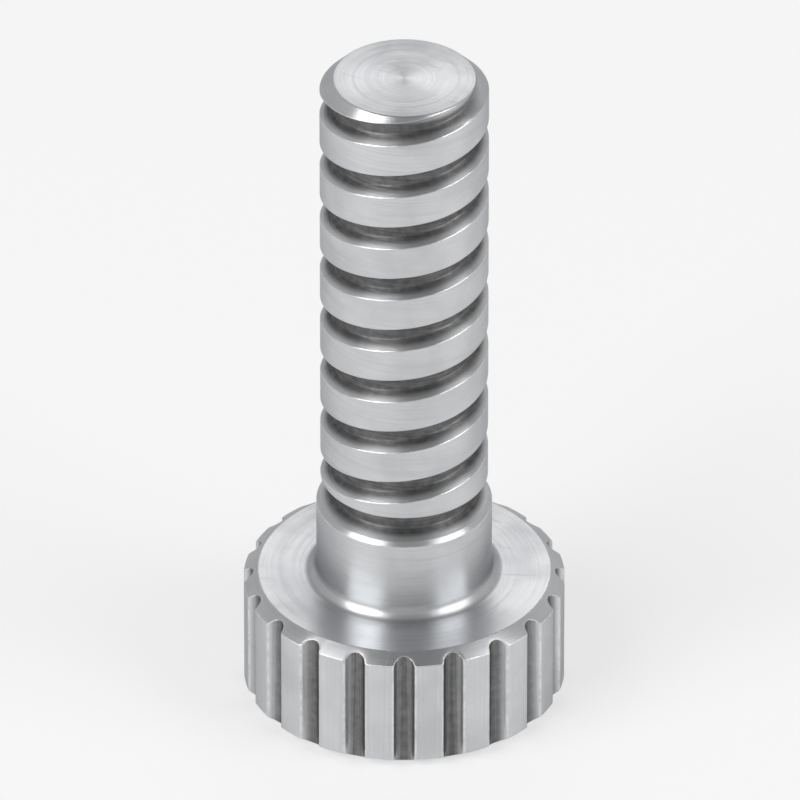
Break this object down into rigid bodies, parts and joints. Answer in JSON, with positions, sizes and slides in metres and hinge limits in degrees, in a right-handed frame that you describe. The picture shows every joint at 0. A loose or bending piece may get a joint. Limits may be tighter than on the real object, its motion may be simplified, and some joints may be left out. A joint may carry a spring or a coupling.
{
  "type": "thumb screw",
  "caption": "Thumb screw with a fluted round head, a plain neck and a long coarse right-hand thread up to a bevelled flat tip, turned by the fingers to clamp or adjust.",
  "frame": {"origin": "centre of the head's end face, on which the screw stands", "axes": "+Z along the screw's axis from the head to the tip, -Y towards the viewer of the drawing"},
  "size_m": [0.0154, 0.0154, 0.0343],
  "materials": {
    "plated_steel": "turned steel with a thin bright plating"
  },
  "bodies": {
    "root": {"thumb_screw": "plated_steel"}
  },
  "joints": []
}
